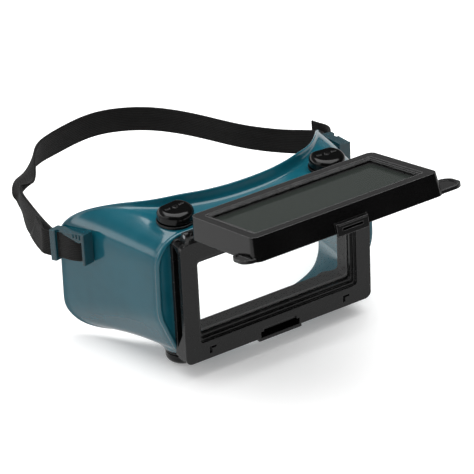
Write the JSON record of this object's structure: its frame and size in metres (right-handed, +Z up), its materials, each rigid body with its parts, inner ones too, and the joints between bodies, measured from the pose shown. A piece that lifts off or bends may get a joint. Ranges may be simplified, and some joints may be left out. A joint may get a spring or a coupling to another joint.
{
  "type": "welding goggles",
  "caption": "Cup-style welding goggles with a soft face shell, a fixed clear window, a hinged flip-up dark filter front, shielded vents and an elastic head strap.",
  "frame": {"origin": "centre of the fixed window, on the front face of the lens frame", "axes": "+X to the right seen from in front, -Y forward away from the wearer, +Z up"},
  "size_m": [0.1914, 0.2747, 0.123],
  "materials": {
    "body_pvc": "soft glossy moulded PVC",
    "frame_black": "satin-gloss moulded plastic",
    "flip_black": "gloss moulded plastic",
    "latch_black": "satin moulded plastic",
    "vent_black": "satin-gloss moulded plastic",
    "gasket_rubber": "matt rubber",
    "clear_glass": "polished clear",
    "cover_glass": "polished clear",
    "shade_glass": "polished dark green filter",
    "pin_steel": "drawn wire",
    "strap_elastic": "ribbed woven elastic"
  },
  "bodies": {
    "goggle_main": {"goggle_body": "body_pvc", "strap_lug_left": "body_pvc", "strap_lug_right": "body_pvc", "lens_frame": "frame_black", "inner_retainer": "frame_black", "safety_lens": "clear_glass", "lens_gasket": "gasket_rubber", "hinge_pin_left": "pin_steel", "hinge_pin_right": "pin_steel", "head_strap": "strap_elastic", "vent_base_top_left": "vent_black", "vent_cap_top_left": "vent_black", "vent_base_top_right": "vent_black", "vent_cap_top_right": "vent_black", "vent_base_bottom_left": "vent_black", "vent_cap_bottom_left": "vent_black", "vent_base_bottom_right": "vent_black", "vent_cap_bottom_right": "vent_black"},
    "flip_front": {"flip_carrier": "flip_black", "cover_plate": "cover_glass", "shade_filter": "shade_glass", "flip_gasket": "gasket_rubber", "flip_retainer": "frame_black"},
    "latch": {"latch_clip": "latch_black"}
  },
  "joints": [
    {"name": "front_lift", "type": "hinge", "parent": "goggle_main", "child": "flip_front", "pos_m": [0, 0.0008, 0.0435], "axis": [-1, 0, 0], "range_deg": [-103.35, 7]},
    {"name": "latch_flex", "type": "hinge", "parent": "flip_front", "child": "latch", "pos_m": [0, -0.07147, 0.06682], "axis": [-1, 0, 0], "range_deg": [0, 8], "stiffness_Nm_per_rad": 0.02}
  ]
}
